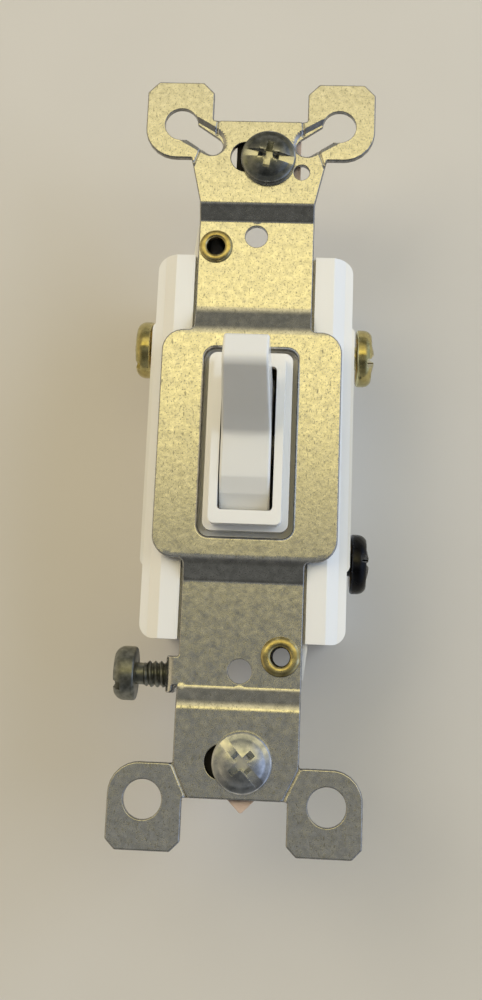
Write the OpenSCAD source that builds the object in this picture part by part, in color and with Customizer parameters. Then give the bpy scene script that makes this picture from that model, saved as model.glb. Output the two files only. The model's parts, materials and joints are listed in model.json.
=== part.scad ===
// Three-way toggle wall switch with side-wired terminals, riveted behind a stamped steel strap.
// X runs across the switch, Y along the strap with the handle up, and Z out of the wall.
// The origin lies midway between the two wall-plate screw holes, on the face of their seats.

/* [Strap] */
// Distance between the two wall-box screw slots
box_pitch = 83.34; // [83.1:0.01:83.6]
// Distance between the two wall-plate screw holes
plate_pitch = 60.33; // [60.1:0.01:60.6]
// Overall length over the plaster ears
strap_len = 106; // [105:0.5:107]
// Overall width over the plaster ears
ear_span = 33; // [32.5:0.5:34]
// Width of the narrow part of the strap
strap_w = 16.4; // [16:0.1:16.8]
// Thickness of the strap's sheet steel
strap_t = 1; // [0.9:0.05:1.05]
// Step from the wall-plate seats up to the ears and to the frame round the handle
step_h = 1.4; // [1.3:0.05:1.5]
// Length of the raised frame round the handle
frame_len = 31.7; // [31.5:0.1:32]
// Width of the raised frame round the handle
frame_w = 25; // [24.6:0.1:25.4]

/* [Body] */
// Width of the cover's flange
flange_w = 27.8; // [27.4:0.1:28.2]
// Length of the cover's flange
flange_len = 53.6; // [53.4:0.1:54]
// Width of the housing behind the flange
housing_w = 26.4; // [26:0.1:26.8]
// Depth of the housing behind the cover
housing_depth = 20.8; // [20.6:0.1:22]
// How far the body sits up the strap from the middle of the mounting holes
body_y = 0.5; // [0.3:0.1:0.6]

/* [Handle] */
// Angle of the handle to either side of square
handle_tilt = 30; // [28:1:30]
// Distance from the handle's pivot to its tip
handle_len = 20.9; // [20:0.1:22]
// Width of the handle at its tip
tip_w = 5.9; // [5.5:0.1:6.2]
// Width of the handle and its drum in the slot
drum_w = 6.8; // [6.6:0.1:7]

/* [Contacts] */
// Angle of the contact rocker to either side of level
rocker_tilt = 8; // [7:0.5:8]
// Distance from the rocker's pin to each moving contact
contact_arm = 7.5; // [7.3:0.1:7.7]
// Radius of the silver contacts
contact_r = 1.6; // [1.4:0.1:1.7]

/* [Screws] */
// Head radius of the wire-binding screws
binder_head_r = 4.15; // [4:0.05:4.2]
// Thread radius of the wire-binding screws
binder_r = 2.08; // [2.05:0.01:2.09]
// Head radius of the wall-box screws
box_head_r = 3.95; // [3.7:0.05:4]
// Thread radius of the wall-box screws and of the ground screw
small_r = 1.75; // [1.72:0.01:1.75]
// Length of the wall-box screws under the head
box_screw_len = 19; // [17:0.5:25]

/* [Hidden] */
$fn = 64;
eps = 0.01;
far = 60;
strap_bottom = step_h - strap_t;
seat_bottom = -strap_t;

// Strap: the ears, the neck and the frame
frame_y = 0.2;
frame_r = 3;
frame_run = [2.8, 3.2];
ear_bend = [34.55, 32.4];
end_up = 47.2;
end_down = 46.3;
ear_gap = 13.6;
window = [12.9, 26];
window_y = 0.4;
box_slot_run = 3.7;
box_slot_half = 2.2;
neck_half = 9.7;
plate_hole_r = 1.6;
gauge_hole = [11.4, 46.5];
gauge_r = 2.38;
gauge_end = [6.7, 43.3];
gauge_half = 1.4;
coin_half = 2.2;
coin_end = [6.85, 43.86];
coin_depth = 0.35;
ear_hole = [11.9, 46.7];
ear_hole_r = 2.5;
score_depth = 0.35;
rivets = [[-5.7, 28.53], [5.32, -28.1]];
rivet_r = 1.75;
rivet_bore_r = 1.25;
rivet_ring_r = [2.4, 2.65];
rivet_fit = 0.05;
tab_y = [-33.3, -28.5];
tab_out = 9.9;
tab_bottom = -7.8;
bend_in_r = 0.4;

// Body: the parting face holds the handle's pivot
pivot_z = seat_bottom - 2.6;
land = [23.2, 30.6];
pad_z = -0.2;
pad_gap = 0.35;
moat_z = -1;
platform = [11.6, 24.6];
platform_z = step_h + 0.1;
shroud = [9.7, 23.2];
shroud_z = 4.4;
slot_w = 7.4;
slot_len = 19.6;
cavity_r = 11.8;
housing_bottom = pivot_z - housing_depth;
floor_z = -20;
cavity = [17.2, 42];
lug_x = [2.2, 9];
lug_end = 32;
lug_bottom = -12;
screw_z = -8.1;
left_y = 15;
right_y = 14.6;
lower_y = -15;
pocket_x = 11;
pocket_w = 10;
pocket_bottom = -20.6;
trunnion_r = 1.6;
trunnion_half = 6;
handle_shift = -0.15;
fit = 0.05;

// Contacts
rocker_z = pivot_z - 12;
rocker_t = 1.2;
rocker_w = 5;
rocker_half = 9;
rocker_pin_r = 1;
button_t = 0.8;
rivet_stem_r = 0.75;
touch = 0.02;
brass_t = 0.8;
plate_t = 1.2;
foot_top = floor_z + brass_t;
cradle_x = 2.9;
cradle_t = 0.7;
left_strip = [-7.5, -4];
right_strip = [4, 7.5];

// Screws
common_under_head = 14.45;
left_under_head = 14.74;
right_under_head = 14.65;
binder_head_h = 2.75;
binder_len = 5.9;
ground_y = -31;
ground_z = -3.8;
ground_head_r = 3.6;
ground_under_head = 14.1;
washer_w = 9.3;
washer_t = 0.8;
box_screws = [[1.37, 41.4], [0.81, -41.6]];
neck_r = 1.45;
neck_len = 2.1;

// ---- Shared shapes ----

// Rectangle centred on the origin with round corners
module round_rect(size, r) {
    square([size[0] - 2 * r, size[1]], center = true);
    square([size[0], size[1] - 2 * r], center = true);
    for (sx = [-1, 1], sy = [-1, 1])
        translate([sx * (size[0] / 2 - r), sy * (size[1] / 2 - r)])
            circle(r);
}

// Straight slot of half-width r between two points
module slot_between(a, b, r) {
    run = norm(b - a);
    translate(a)
        rotate(atan2(b[1] - a[1], b[0] - a[0])) {
            translate([0, -r])
                square([run, 2 * r]);
            circle(r);
            translate([run, 0])
                circle(r);
        }
}

// A right-hand shape and its mirror image
module both_sides() {
    children();
    mirror([1, 0, 0])
        children();
}

// Extrudes an outline drawn in Y and Z to both sides of X = 0
module across(width) {
    rotate([90, 0, 90])
        linear_extrude(width, center = true)
            children();
}

// Box from its low corner to its high corner
module block(low, high) {
    translate(low)
        cube(high - low);
}

// ---- Strap ----

module ear_outline(y_in, corner_r, chamfer) {
    x_in = ear_gap / 2;
    x_out = ear_span / 2;
    y_out = strap_len / 2;
    difference() {
        translate([x_in, y_in])
            square([x_out - x_in, y_out - y_in]);
        difference() {
            translate([x_out - corner_r, y_in - eps])
                square(corner_r + eps);
            translate([x_out - corner_r, y_in + corner_r])
                circle(corner_r);
        }
        for (x = [x_in, x_out])
            translate([x, y_out])
                rotate(45)
                    square(chamfer * sqrt(2), center = true);
    }
}

module strap_outline() {
    translate([-strap_w / 2, -end_down])
        square([strap_w, end_up + end_down]);
    polygon([
        [-strap_w / 2, ear_bend[0]], [strap_w / 2, ear_bend[0]], [neck_half, 41.35],
        [neck_half, end_up], [-neck_half, end_up], [-neck_half, 41.35]
    ]);
    both_sides() {
        ear_outline(41.35, 4.5, 1.6);
        mirror([0, 1, 0])
            ear_outline(42.05, 4, 1.3);
    }
    translate([0, frame_y])
        round_rect([frame_w, frame_len], frame_r);
}

// Side view of the sheet: ears high, plate seats low, frame high
module bent_sheet() {
    frame_up = frame_y + frame_len / 2;
    frame_down = frame_y - frame_len / 2;
    path = [
        [-strap_len / 2, step_h], [-ear_bend[0], step_h], [-ear_bend[1], 0],
        [frame_down - frame_run[0], 0], [frame_down, step_h], [frame_up, step_h],
        [frame_up + frame_run[1], 0], [ear_bend[1], 0], [ear_bend[0], step_h], [strap_len / 2, step_h]
    ];
    back = [for (i = [len(path) - 1:-1:0]) path[i] - [0, strap_t]];
    across(ear_span + 2)
        polygon(concat(path, back));
}

// V-groove across a web that lets an ear be broken off
module score(a, b) {
    run = norm(b - a);
    translate([a[0], a[1], step_h])
        rotate([0, 0, atan2(b[1] - a[1], b[0] - a[0])])
            translate([run / 2, 0, 0])
                rotate([45, 0, 0])
                    cube([run, score_depth * sqrt(2), score_depth * sqrt(2)], center = true);
}

// Edge of the sheet bent down to take the ground screw
module ground_tab() {
    turn_x = tab_out - strap_t - bend_in_r;
    turn_z = -strap_t - bend_in_r;
    width = tab_y[1] - tab_y[0];
    block([-turn_x, tab_y[0] + 1.1, -strap_t], [-strap_w / 2 + 1, tab_y[1] - 0.5, 0]);
    translate([-turn_x, tab_y[1], turn_z])
        rotate([90, 0, 0])
            rotate_extrude(angle = 90, start = 90)
                translate([bend_in_r, 0])
                    square([strap_t, width]);
    difference() {
        block([-tab_out, tab_y[0], tab_bottom], [-tab_out + strap_t, tab_y[1], turn_z]);
        for (y = tab_y)
            translate([0, y, tab_bottom])
                rotate([45, 0, 0])
                    cube([far, 1.6, 1.6], center = true);
    }
}

module strap_holes() {
    for (side = [-1, 1])
        translate([0, side * box_pitch / 2])
            slot_between([-box_slot_run / 2, 0], [box_slot_run / 2, 0], box_slot_half);
    for (side = [-1, 1])
        translate([0, side * plate_pitch / 2])
            circle(plate_hole_r);
    for (p = rivets)
        translate(p)
            circle(rivet_r + rivet_fit);
    both_sides() {
        translate(gauge_hole)
            circle(gauge_r);
        slot_between(gauge_hole, gauge_end, gauge_half);
        translate([ear_hole[0], -ear_hole[1]])
            circle(ear_hole_r);
    }
    translate([6.16, 39.44])
        circle(1.14);
    translate([0, window_y])
        round_rect(window, 1.5);
}

module strap() {
    color("silver")
        difference() {
            union() {
                intersection() {
                    bent_sheet();
                    translate([0, 0, -2])
                        linear_extrude(5)
                            strap_outline();
                }
                ground_tab();
            }
            translate([0, 0, -3])
                linear_extrude(7)
                    strap_holes();
            both_sides() {
                translate([0, 0, step_h - coin_depth])
                    linear_extrude(1)
                        slot_between(gauge_hole, coin_end, coin_half);
                score([6.1, 47.9], [6.3, 45.2]);
                score([8.4, 43.2], [9.3, 40.6]);
                score([8.7, -41.2], [6, -46.8]);
            }
            translate([0, ground_y, ground_z])
                rotate([0, 90, 0])
                    cylinder(h = 30, r = small_r + fit, center = true);
        }
}

// Tubular brass rivet through the strap, the cover's lug and the housing's lug
module eyelet(place, ring_r) {
    ring_mid = (ring_r + rivet_bore_r) / 2;
    ring_half = (ring_r - rivet_bore_r) / 2;
    color("goldenrod")
        translate([place[0], place[1], 0])
            rotate_extrude() {
                translate([rivet_bore_r, lug_bottom])
                    square([rivet_r - rivet_bore_r, -lug_bottom]);
                intersection() {
                    translate([ring_mid, 0])
                        circle(ring_half);
                    translate([rivet_bore_r, 0])
                        square([2 * ring_half, ring_half]);
                }
                intersection() {
                    translate([ring_mid, lug_bottom])
                        circle(ring_half);
                    translate([rivet_bore_r, lug_bottom - ring_half])
                        square([2 * ring_half, ring_half]);
                }
            }
}

module eyelet_upper() {
    eyelet(rivets[0], rivet_ring_r[0]);
}

module eyelet_lower() {
    eyelet(rivets[1], rivet_ring_r[1]);
}

// ---- Body ----

// Two diagonal lugs that the eyelets pass through
module lug_outline() {
    for (turn = [0, 180])
        translate([0, body_y])
            rotate(turn)
                polygon([
                    [-lug_x[1], flange_len / 2 - 1], [-lug_x[1] + 0.6, lug_end - body_y],
                    [-lug_x[0] - 0.6, lug_end - body_y], [-lug_x[0], flange_len / 2 - 1]
                ]);
}

module rivet_holes() {
    for (p = rivets)
        translate(p)
            circle(rivet_r + rivet_fit);
}

module bearing_bore() {
    translate([0, body_y, pivot_z])
        rotate([0, 90, 0])
            cylinder(h = 2 * trunnion_half + 0.4, r = trunnion_r + fit, center = true);
}

// Flange whose two long pads lie beside the strap
module flange() {
    half = flange_w / 2;
    difference() {
        intersection() {
            translate([0, body_y, 0])
                rotate([90, 0, 0])
                    linear_extrude(flange_len, center = true)
                        polygon([
                            [-half, pivot_z], [half, pivot_z], [half, -1.7], [half - 1.1, -1.35],
                            [half - 2.7, pad_z], [2.7 - half, pad_z], [1.1 - half, -1.35], [-half, -1.7]
                        ]);
            translate([0, body_y, pivot_z])
                linear_extrude(10)
                    round_rect([flange_w, flange_len], 2);
        }
        translate([0, 0, seat_bottom + 5])
            cube([strap_w + 2 * pad_gap, far * 2, 10], center = true);
    }
    translate([0, body_y, pivot_z])
        linear_extrude(1.9)
            round_rect([flange_w + 0.8, 34.4], 1);
}

module front_cover() {
    color("white")
        difference() {
            union() {
                flange();
                translate([0, frame_y, seat_bottom - eps])
                    linear_extrude(strap_bottom - seat_bottom + eps)
                        round_rect(land, 2);
                translate([0, body_y, 0])
                    linear_extrude(platform_z)
                        round_rect(platform, 1.2);
                translate([0, body_y, 0])
                    linear_extrude(shroud_z)
                        round_rect(shroud, 0.8);
                translate([0, 0, pivot_z])
                    linear_extrude(seat_bottom - pivot_z)
                        lug_outline();
            }
            translate([0, body_y, 0])
                linear_extrude(far)
                    round_rect([slot_w, slot_len], 0.6);
            // Moat between the platform and the edge of the strap's window
            translate([0, 0, moat_z])
                linear_extrude(far)
                    difference() {
                        translate([0, window_y])
                            round_rect(window, 1.5);
                        translate([0, body_y])
                            round_rect(platform, 1.2);
                    }
            intersection() {
                translate([0, body_y, pivot_z])
                    rotate([0, 90, 0])
                        cylinder(h = slot_w + 0.4, r = cavity_r, center = true);
                block([-far, -far, -far], [far, far, shroud_z - 1.3]);
            }
            bearing_bore();
            translate([0, 0, -far])
                linear_extrude(2 * far)
                    rivet_holes();
        }
}

// Recess in the housing's side for one terminal
module terminal_pocket(side, y, used) {
    low = min(side * pocket_x, side * far);
    high = max(side * pocket_x, side * far);
    block([low, y - pocket_w / 2, pocket_bottom], [high, y + pocket_w / 2, 0]);
    if (used) {
        translate([side * (cavity[0] / 2 + pocket_x) / 2, y, screw_z])
            rotate([0, 90, 0])
                cylinder(h = 4, r = 2.6, center = true);
        translate([side * (cavity[0] / 2 + pocket_x) / 2, y, floor_z + 0.45])
            cube([4, 4.8, 0.9], center = true);
    }
}

module back_housing() {
    color("whitesmoke")
        difference() {
            union() {
                difference() {
                    translate([0, body_y, housing_bottom])
                        linear_extrude(housing_depth)
                            round_rect([housing_w, flange_len - 1.2], 1.5);
                    translate([0, body_y, floor_z])
                        linear_extrude(far)
                            round_rect(cavity, 1.5);
                    terminal_pocket(-1, left_y, true);
                    terminal_pocket(1, right_y, true);
                    terminal_pocket(1, lower_y, true);
                    terminal_pocket(-1, lower_y, false);
                }
                // Shelves that carry the handle's pivots
                both_sides()
                    block([4.3, body_y - 2.4, pivot_z - 4.4], [cavity[0] / 2 + 1, body_y + 2.4, pivot_z]);
                translate([0, 0, lug_bottom])
                    linear_extrude(pivot_z - lug_bottom)
                        lug_outline();
            }
            bearing_bore();
            translate([0, 0, -far])
                linear_extrude(2 * far)
                    rivet_holes();
            // Room in the end walls for the clinched ends of the eyelets
            for (p = rivets)
                translate([p[0], p[1], lug_bottom - far])
                    cylinder(h = far, r = rivet_ring_r[1] + 0.3);
            // Bevel along the back edges
            both_sides()
                translate([housing_w / 2, body_y, housing_bottom])
                    rotate([0, 45, 0])
                        cube([1.4, 2 * far, 1.4], center = true);
        }
}

// ---- Handle ----

module in_handle() {
    translate([0, body_y, pivot_z])
        rotate([-handle_tilt, 0, 0])
            children();
}

// Side view of the handle, its two wings and the spring boss below the pivot
module handle_side() {
    right = [
        [2.5, handle_len], [3.7, 7.6], [8.8, 4.5], [10.3, 2.7], [11.3, 0.4], [11.1, -1.2], [9.7, -1.2],
        [7.9, 2.3], [4.4, 3.4], [3.3, -2], [3.2, -8]
    ];
    left = [for (i = [len(right) - 1:-1:0]) [-right[i][0], right[i][1]]];
    polygon(concat(right, left));
}

// The handle stands a little to one side of its slot, within the play of its pivot
module toggle() {
    color("white")
        in_handle()
            difference() {
                union() {
                    translate([handle_shift, 0, 0])
                        intersection() {
                            across(2 * drum_w)
                                handle_side();
                            rotate([90, 0, 0])
                                linear_extrude(far, center = true)
                                    polygon([
                                        [-drum_w / 2, -20], [drum_w / 2, -20], [drum_w / 2, 6.5],
                                        [tip_w / 2, handle_len + 1], [-tip_w / 2, handle_len + 1],
                                        [-drum_w / 2, 6.5]
                                    ]);
                        }
                    rotate([0, 90, 0])
                        cylinder(h = 2 * trunnion_half, r = trunnion_r, center = true);
                }
                // Blind socket for the spring
                translate([0, 0, -9])
                    cylinder(h = 6.8, r = 2.2);
            }
}

// Compression spring swept along its helix as a closed tube of hexagonal wire
module toggle_spring() {
    coil_r = 1.6;
    wire_r = 0.3;
    turns = 8;
    steps = 14;
    sides = 6;
    top = -2.6;
    drop = 10.35;
    rings = turns * steps;
    points = [
        for (i = [0:rings], j = [0:sides - 1])
            let (turn = 360 * i / steps, round = 360 * j / sides, r = coil_r + wire_r * cos(round))
                [r * cos(turn), r * sin(turn), top - drop * i / rings + wire_r * sin(round)]
    ];
    skin = [
        for (i = [0:rings - 1], j = [0:sides - 1])
            let (next = (j + 1) % sides)
                [i * sides + j, i * sides + next, (i + 1) * sides + next, (i + 1) * sides + j]
    ];
    start_cap = [[for (j = [sides - 1:-1:0]) j]];
    end_cap = [[for (j = [0:sides - 1]) rings * sides + j]];
    color("gray")
        in_handle()
            polyhedron(points, concat(skin, start_cap, end_cap));
}

// ---- Contacts ----

module in_rocker(tilt) {
    translate([0, body_y, rocker_z])
        rotate([tilt, 0, 0])
            children();
}

module contact_rocker() {
    color("peru")
        in_rocker(rocker_tilt)
            difference() {
                union() {
                    cube([rocker_w, 2 * rocker_half, rocker_t], center = true);
                    rotate([0, 90, 0])
                        cylinder(h = 2 * (cradle_x + cradle_t) + 0.4, r = rocker_pin_r, center = true);
                }
                for (side = [-1, 1])
                    translate([0, side * contact_arm, 0])
                        cylinder(h = 5, r = rivet_stem_r + touch, center = true);
            }
}

module moving_contact(side) {
    color("lightgray")
        in_rocker(rocker_tilt)
            translate([0, side * contact_arm, 0]) {
                translate([0, 0, -rocker_t / 2 - button_t])
                    cylinder(h = button_t, r = contact_r);
                translate([0, 0, -rocker_t / 2 - button_t])
                    cylinder(h = rocker_t + button_t, r = rivet_stem_r);
            }
}

module moving_contact_upper() {
    moving_contact(1);
}

module moving_contact_lower() {
    moving_contact(-1);
}

// Fixed contact with its face parallel to the moving contact that closes on it
module fixed_contact(side) {
    color("lightgray")
        difference() {
            in_rocker(-side * rocker_tilt)
                translate([0, side * contact_arm, -rocker_t / 2 - button_t - touch - 2])
                    cylinder(h = 2, r = contact_r);
            block([-far, -far, -far], [far, far, foot_top]);
        }
}

module fixed_contact_upper() {
    fixed_contact(1);
}

module fixed_contact_lower() {
    fixed_contact(-1);
}

// Plate in the side pocket with its threaded hole, and the foot that runs in along the floor
module terminal_plate(side, y, foot_in) {
    inner = side * pocket_x;
    outer = side * (pocket_x + plate_t);
    low = min(inner, outer);
    high = max(inner, outer);
    difference() {
        union() {
            block([low, y - 4, screw_z - 4.5], [high, y + 4, screw_z + 4]);
            block([low, y - 2.3, floor_z], [high, y + 2.3, screw_z]);
        }
        translate([side * pocket_x, y, screw_z])
            rotate([0, 90, 0])
                cylinder(h = 10, r = binder_r + fit, center = true);
    }
    block([min(outer, foot_in), y - 2.3, floor_z], [max(outer, foot_in), y + 2.3, foot_top]);
}

module common_terminal() {
    pad = [body_y - 2.5, body_y + 2.5];
    color("goldenrod") {
        terminal_plate(1, lower_y, right_strip[0]);
        block([right_strip[0], lower_y - 2.3, floor_z], [right_strip[1], pad[1], foot_top]);
        block([-cradle_x - cradle_t, pad[0], floor_z], [right_strip[1], pad[1], foot_top]);
        difference() {
            both_sides()
                translate([cradle_x, body_y - 1.9, floor_z])
                    cube([cradle_t, 3.8, rocker_z + 1.6 - floor_z]);
            translate([0, body_y, rocker_z])
                rotate([0, 90, 0])
                    cylinder(h = far, r = rocker_pin_r + fit, center = true);
        }
    }
}

module traveller_terminal_left() {
    contact_y = body_y - contact_arm;
    color("goldenrod") {
        terminal_plate(-1, left_y, left_strip[1]);
        block([left_strip[0], contact_y - 2.6, floor_z], [left_strip[1], left_y + 2.3, foot_top]);
        block([left_strip[0], contact_y - 2.6, floor_z], [2.5, contact_y + 2.4, foot_top]);
    }
}

module traveller_terminal_right() {
    contact_y = body_y + contact_arm;
    color("goldenrod") {
        terminal_plate(1, right_y, -2.5);
        block([-2.5, contact_y - 2.4, floor_z], [2.5, right_y + 2.3, foot_top]);
    }
}

// ---- Screws ----

// Domed screw pointing down from the underside of its head at Z = 0
module screw(head_r, head_h, thread_r, length, neck, neck_radius, slot) {
    dome_r = 2.2 * head_r;
    difference() {
        union() {
            intersection() {
                cylinder(h = head_h, r = head_r);
                translate([0, 0, head_h - dome_r])
                    sphere(dome_r, $fn = 96);
            }
            translate([0, 0, -neck])
                cylinder(h = neck + head_h / 3, r = neck_radius);
            translate([0, 0, -length + 0.5])
                cylinder(h = length - 0.5 - neck, r = thread_r);
            translate([0, 0, -length])
                cylinder(h = 0.5, r1 = thread_r - 0.5, r2 = thread_r);
        }
        translate([0, 0, head_h])
            rotate([0, 0, slot])
                cube([3 * head_r, 1.2, 2.2], center = true);
    }
}

// Terminal screw whose head faces out of the housing's side
module binder(side, y, under_head, slot) {
    translate([side * under_head, y, screw_z])
        rotate([0, side * 90, 0])
            screw(binder_head_r, binder_head_h, binder_r, binder_len, 0.6, 1.7, slot);
}

module common_screw() {
    color("dimgray")
        binder(1, lower_y, common_under_head, -12);
}

module traveller_screw_left() {
    color("gold")
        binder(-1, left_y, left_under_head, 50);
}

module traveller_screw_right() {
    color("gold")
        binder(1, right_y, right_under_head, 22);
}

module ground_screw() {
    color("darkslategray")
        translate([-ground_under_head, ground_y, ground_z])
            rotate([0, -90, 0])
                screw(ground_head_r, 3, small_r, 7.6, 0.9, 1.5, 50);
}

// Fibre washer that keeps a wall-box screw in its slot
module retainer(place, turn) {
    color("tan")
        translate([place[0], place[1], strap_bottom - fit - washer_t])
            difference() {
                rotate([0, 0, turn])
                    translate([-washer_w / 2, -washer_w / 2, 0])
                        cube([washer_w, washer_w, washer_t]);
                translate([0, 0, -1])
                    cylinder(h = washer_t + 2, r = small_r + fit);
            }
}

module screw_retainer_upper() {
    retainer(box_screws[0], 0);
}

module screw_retainer_lower() {
    retainer(box_screws[1], 45);
}

module box_screw(place, slot) {
    color("lightsteelblue")
        translate([place[0], place[1], step_h])
            screw(box_head_r, 2.2, small_r, box_screw_len, neck_len, neck_r, slot);
}

module box_screw_upper() {
    box_screw(box_screws[0], -12);
}

module box_screw_lower() {
    box_screw(box_screws[1], -45);
}

strap();
eyelet_upper();
eyelet_lower();
front_cover();
back_housing();
toggle();
toggle_spring();
contact_rocker();
moving_contact_upper();
moving_contact_lower();
common_terminal();
traveller_terminal_left();
traveller_terminal_right();
fixed_contact_upper();
fixed_contact_lower();
common_screw();
traveller_screw_left();
traveller_screw_right();
ground_screw();
screw_retainer_upper();
screw_retainer_lower();
box_screw_upper();
box_screw_lower();
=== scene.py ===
"""Looks of the toggle wall switch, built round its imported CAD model.

Lengths are millimetres until MM scales them, in the frame of the CAD model.
"""

import json
import math

import bmesh
import bpy
import numpy as np
from mathutils import Euler, Matrix, Vector, geometry


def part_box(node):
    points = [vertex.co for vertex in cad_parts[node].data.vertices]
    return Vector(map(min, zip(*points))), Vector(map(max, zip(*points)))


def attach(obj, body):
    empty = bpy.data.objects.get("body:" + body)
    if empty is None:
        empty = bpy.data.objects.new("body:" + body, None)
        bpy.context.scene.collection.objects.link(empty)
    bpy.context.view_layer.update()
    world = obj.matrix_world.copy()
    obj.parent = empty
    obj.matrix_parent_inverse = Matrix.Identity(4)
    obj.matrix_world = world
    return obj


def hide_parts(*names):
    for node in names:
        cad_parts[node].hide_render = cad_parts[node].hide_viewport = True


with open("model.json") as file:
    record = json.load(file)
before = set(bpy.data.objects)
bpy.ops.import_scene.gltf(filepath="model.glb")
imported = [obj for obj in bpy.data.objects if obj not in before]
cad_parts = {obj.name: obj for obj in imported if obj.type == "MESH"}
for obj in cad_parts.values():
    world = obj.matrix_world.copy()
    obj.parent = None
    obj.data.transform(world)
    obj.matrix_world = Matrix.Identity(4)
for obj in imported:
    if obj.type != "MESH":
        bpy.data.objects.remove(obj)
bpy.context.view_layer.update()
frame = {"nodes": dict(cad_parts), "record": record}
NODES = frame["nodes"]
MM = 0.001

# ---- Camera, lights and floor ----

CAMERA_PLACE = (8.32, -28.42, 176.38)
CAMERA_TURN = (12.72, 2.66, 2.28)
CAMERA_LENS = 46.8
CAMERA_SHIFT = -0.133
LAMP_SIZE = 0.6
FLOOR_REACH = 3.0

# Colour of the surroundings by degrees of tilt from straight up towards +Y
SKY_ALONG = (
    (-90, (0.16, 0.16, 0.16)), (-62, (0.13, 0.13, 0.125)), (-44, (0.05, 0.05, 0.045)),
    (-24, (0.05, 0.05, 0.05)), (-9, (0.17, 0.17, 0.16)), (5, (0.10, 0.105, 0.105)),
    (10, (1.06, 0.90, 0.40)), (19, (1.06, 0.90, 0.40)), (24, (0.60, 0.53, 0.32)), (34, (0.60, 0.53, 0.32)),
    (48, (0.24, 0.22, 0.16)), (62, (0.085, 0.085, 0.075)), (76, (0.24, 0.23, 0.20)), (90, (0.26, 0.25, 0.23)),
)
# Colour of the surroundings to the left and right of the object, by the X of the direction
SKY_ACROSS = (
    (-1, (0.42, 0.36, 0.24)), (-0.6, (0.20, 0.175, 0.13)), (0.0, (0.2, 0.2, 0.19)),
    (0.5, (0.20, 0.23, 0.30)), (0.8, (0.34, 0.40, 0.54)), (1, (0.31, 0.36, 0.45)),
)
# Beyond this X of the direction the colours across take over from those along, at this rate
SIDE_FROM = 0.35
SIDE_RATE = 2.2
SKY_STRENGTH = 1.53


def make_camera():
    data = bpy.data.cameras.new("camera")
    data.lens = CAMERA_LENS
    data.sensor_width = 36
    data.shift_y = CAMERA_SHIFT
    data.clip_start = 0.005
    camera = bpy.data.objects.new("camera", data)
    camera.location = Vector(CAMERA_PLACE) * MM
    camera.rotation_euler = Euler([math.radians(a) for a in CAMERA_TURN], "XYZ")
    bpy.context.scene.collection.objects.link(camera)
    bpy.context.scene.camera = camera


def area_light(name, place, power, colour):
    """Soft square lamp aimed at the origin; it lights surfaces but is not itself mirrored in the metal."""
    data = bpy.data.lights.new(name, "AREA")
    data.size = LAMP_SIZE
    data.energy = power
    data.color = colour
    light = bpy.data.objects.new(name, data)
    light.location = place
    light.visible_glossy = False
    light.rotation_euler = (-Vector(place)).to_track_quat("-Z", "Y").to_euler()
    bpy.context.scene.collection.objects.link(light)


def make_lights():
    area_light("key", (-0.45, 0.35, 0.60), 3.3, (1.0, 0.92, 0.80))
    area_light("cool_side", (0.60, 0.22, 0.34), 3.6, (0.70, 0.82, 1.0))


def math_node(tree, operation, first, second=0.0, clamp=False):
    """One arithmetic step; first and second are numbers or sockets."""
    node = tree.nodes.new("ShaderNodeMath")
    node.operation = operation
    node.use_clamp = clamp
    for socket, value in zip(node.inputs, (first, second)):
        if isinstance(value, (int, float)):
            socket.default_value = value
        else:
            tree.links.new(value, socket)
    return node.outputs[0]


def mix_node(tree, share, first, second):
    """Colour mix; first and second are colours or sockets, and share is a socket."""
    node = tree.nodes.new("ShaderNodeMix")
    node.data_type = "RGBA"
    tree.links.new(share, node.inputs["Factor"])
    sockets = [socket for socket in node.inputs if socket.type == "RGBA"]
    for socket, value in zip(sockets, (first, second)):
        if isinstance(value, tuple):
            socket.default_value = (*value, 1)
        else:
            tree.links.new(value, socket)
    return [socket for socket in node.outputs if socket.type == "RGBA"][0]


def ramp_node(tree, factor, stops):
    node = tree.nodes.new("ShaderNodeValToRGB")
    node.color_ramp.interpolation = "EASE"
    while len(node.color_ramp.elements) < len(stops):
        node.color_ramp.elements.new(0.5)
    for element, (at, colour) in zip(node.color_ramp.elements, stops):
        element.position = at
        element.color = (*colour, 1)
    tree.links.new(factor, node.inputs[0])
    return node.outputs[0]


def studio_world():
    """Soft surroundings by direction: a warm lamp above the far end, shade round the camera, pale walls."""
    world = bpy.data.worlds.new("studio")
    world.use_nodes = True
    tree = world.node_tree
    background = tree.nodes["Background"]
    coords = tree.nodes.new("ShaderNodeTexCoord").outputs["Generated"]
    split = tree.nodes.new("ShaderNodeSeparateXYZ")
    tree.links.new(coords, split.inputs[0])
    tilt = math_node(tree, "ARCTAN2", split.outputs["Y"], split.outputs["Z"])
    tilt = math_node(tree, "ADD", math_node(tree, "DIVIDE", tilt, math.pi), 0.5)
    along = ramp_node(tree, tilt, [(0.5 + angle / 180, colour) for angle, colour in SKY_ALONG])
    sideways = math_node(tree, "ADD", math_node(tree, "MULTIPLY", split.outputs["X"], 0.5), 0.5)
    across = ramp_node(tree, sideways, [(0.5 + x / 2, colour) for x, colour in SKY_ACROSS])
    beyond = math_node(tree, "SUBTRACT", math_node(tree, "ABSOLUTE", split.outputs["X"]), SIDE_FROM)
    share = math_node(tree, "MULTIPLY", beyond, SIDE_RATE, clamp=True)
    tree.links.new(mix_node(tree, share, along, across), background.inputs["Color"])
    background.inputs["Strength"].default_value = SKY_STRENGTH
    bpy.context.scene.world = world
    bpy.context.scene.view_settings.view_transform = "Standard"


def make_floor():
    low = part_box("back_housing")[0].z
    mesh = bpy.data.meshes.new("floor")
    corners = ((-1, -1), (1, -1), (1, 1), (-1, 1))
    mesh.from_pydata([(x * FLOOR_REACH, y * FLOOR_REACH, low) for x, y in corners], [], [(0, 1, 2, 3)])
    floor = bpy.data.objects.new("floor", mesh)
    bpy.context.scene.collection.objects.link(floor)
    floor.data.materials.append(floor_material())


# ---- Materials ----

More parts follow.
